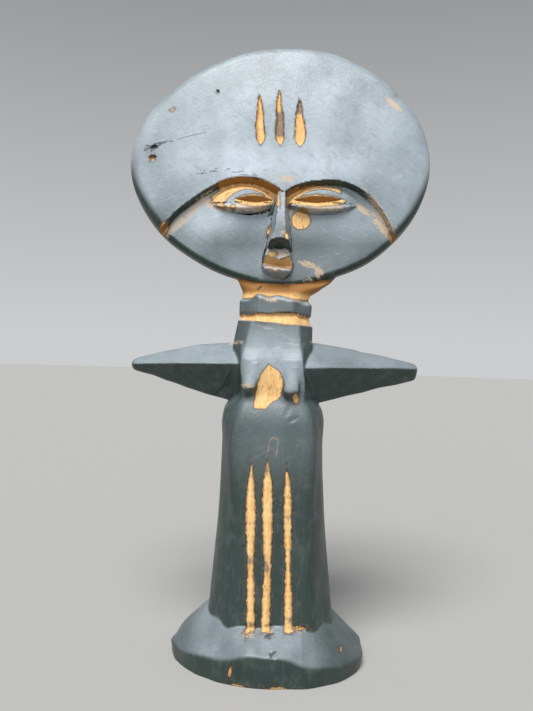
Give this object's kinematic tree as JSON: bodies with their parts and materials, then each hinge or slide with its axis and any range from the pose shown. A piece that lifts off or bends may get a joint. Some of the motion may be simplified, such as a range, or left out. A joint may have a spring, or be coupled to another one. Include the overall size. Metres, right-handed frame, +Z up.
{
  "type": "fertility doll",
  "caption": "Standing carved wooden doll of the akua'ba kind: broad flat oval head, ringed neck, level pointed arms, small breasts and a column body on a spreading foot.",
  "frame": {"origin": "centre of the flat underside of the foot, on the surface it stands on", "axes": "+Z up along the body, -Y the way the face looks, +X towards the figure's own left arm"},
  "size_m": [0.134, 0.078, 0.2721],
  "materials": {
    "blackened_wood": "satin",
    "raw_wood": "matte"
  },
  "bodies": {
    "root": {"head": "blackened_wood", "nose": "blackened_wood", "left_eye": "raw_wood", "right_eye": "raw_wood", "mouth": "raw_wood", "neck": "raw_wood", "neck_ring": "blackened_wood", "lower_neck": "raw_wood", "torso": "blackened_wood", "left_breast": "blackened_wood", "right_breast": "blackened_wood", "left_arm": "blackened_wood", "right_arm": "blackened_wood", "skirt": "blackened_wood", "base": "blackened_wood"}
  },
  "joints": []
}
